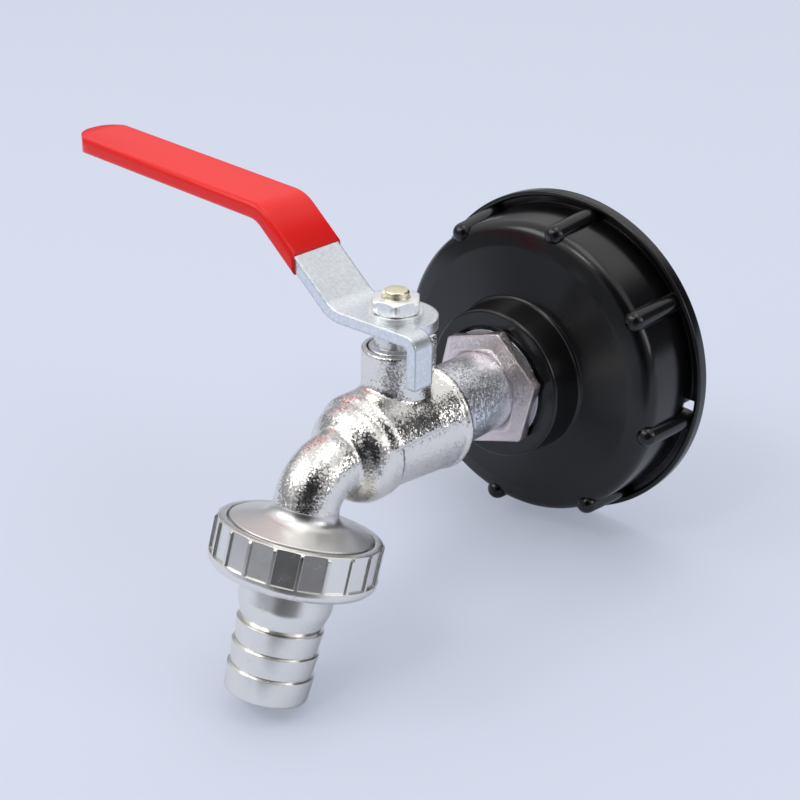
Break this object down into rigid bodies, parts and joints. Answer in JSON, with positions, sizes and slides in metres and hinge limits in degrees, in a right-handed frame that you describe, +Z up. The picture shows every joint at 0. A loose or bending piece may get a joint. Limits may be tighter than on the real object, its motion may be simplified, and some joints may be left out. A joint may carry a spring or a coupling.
{
  "type": "ibc tank valve",
  "caption": "Lever ball tap with a downturned spout, union nut and barbed hose tail, on a ribbed screw cap for a tank outlet.",
  "frame": {"origin": "centre of the cap's open rim, on the axis of the tank thread", "axes": "+X along the inlet into the tank, +Y along the closed lever, +Z up the stem"},
  "size_m": [0.1147, 0.138, 0.1009],
  "materials": {
    "cap_plastic": "moulded black polypropylene, semi-gloss",
    "gasket_rubber": "moulded rubber, matt",
    "washer_steel": "zinc plated steel",
    "hexagon_cast": "cast and nickel plated, grainy",
    "neck_nickel": "turned and nickel plated, satin",
    "body_nickel": "cast, tumbled and nickel plated",
    "ball_chrome": "polished chrome plated brass",
    "seat_ptfe": "white fluoropolymer",
    "stem_brass": "turned brass",
    "gland_nickel": "nickel plated brass",
    "lever_zinc": "bright zinc plated steel sheet",
    "nut_zinc": "bright zinc plated steel",
    "grip_vinyl": "dipped red vinyl, satin",
    "union_nickel": "turned and nickel plated brass",
    "tail_nickel": "turned and nickel plated brass"
  },
  "bodies": {
    "tap_body": {"coupling_cap": "cap_plastic", "tank_gasket": "gasket_rubber", "cap_washer": "washer_steel", "hex_bushing": "hexagon_cast", "nipple_gasket": "gasket_rubber", "nipple_locknut": "hexagon_cast", "inlet_connector": "neck_nickel", "valve_body": "body_nickel", "seat_inlet": "seat_ptfe", "seat_outlet": "seat_ptfe", "stem_washer": "seat_ptfe", "stem_packing": "seat_ptfe", "gland_nut": "gland_nickel"},
    "lever_set": {"lever": "lever_zinc", "lever_grip": "grip_vinyl", "lever_washer": "nut_zinc", "lever_nut": "nut_zinc", "stem": "stem_brass", "ball": "ball_chrome"},
    "tail_set": {"hose_tail": "tail_nickel", "tail_washer": "gasket_rubber"},
    "nut_set": {"union_nut": "union_nickel"}
  },
  "joints": [
    {"name": "lever_turn", "type": "hinge", "parent": "tap_body", "child": "lever_set", "pos_m": [-0.065, 0, 0], "axis": [0, 0, 1], "range_deg": [0, 90]},
    {"name": "tail_slide", "type": "slide", "parent": "tap_body", "child": "tail_set", "axis": [-0.3057, 0, -0.9521], "range_m": [0, 0.00462]},
    {"name": "nut_turn", "type": "hinge", "parent": "tail_set", "child": "nut_set", "pos_m": [-0.09588, 0, -0.01615], "axis": [-0.3057, 0, -0.9521], "range_deg": [0, 720]}
  ],
  "couplings": [
    {"joint": "nut_turn", "follows": "tail_slide", "rad_per_m": 2721.2}
  ]
}
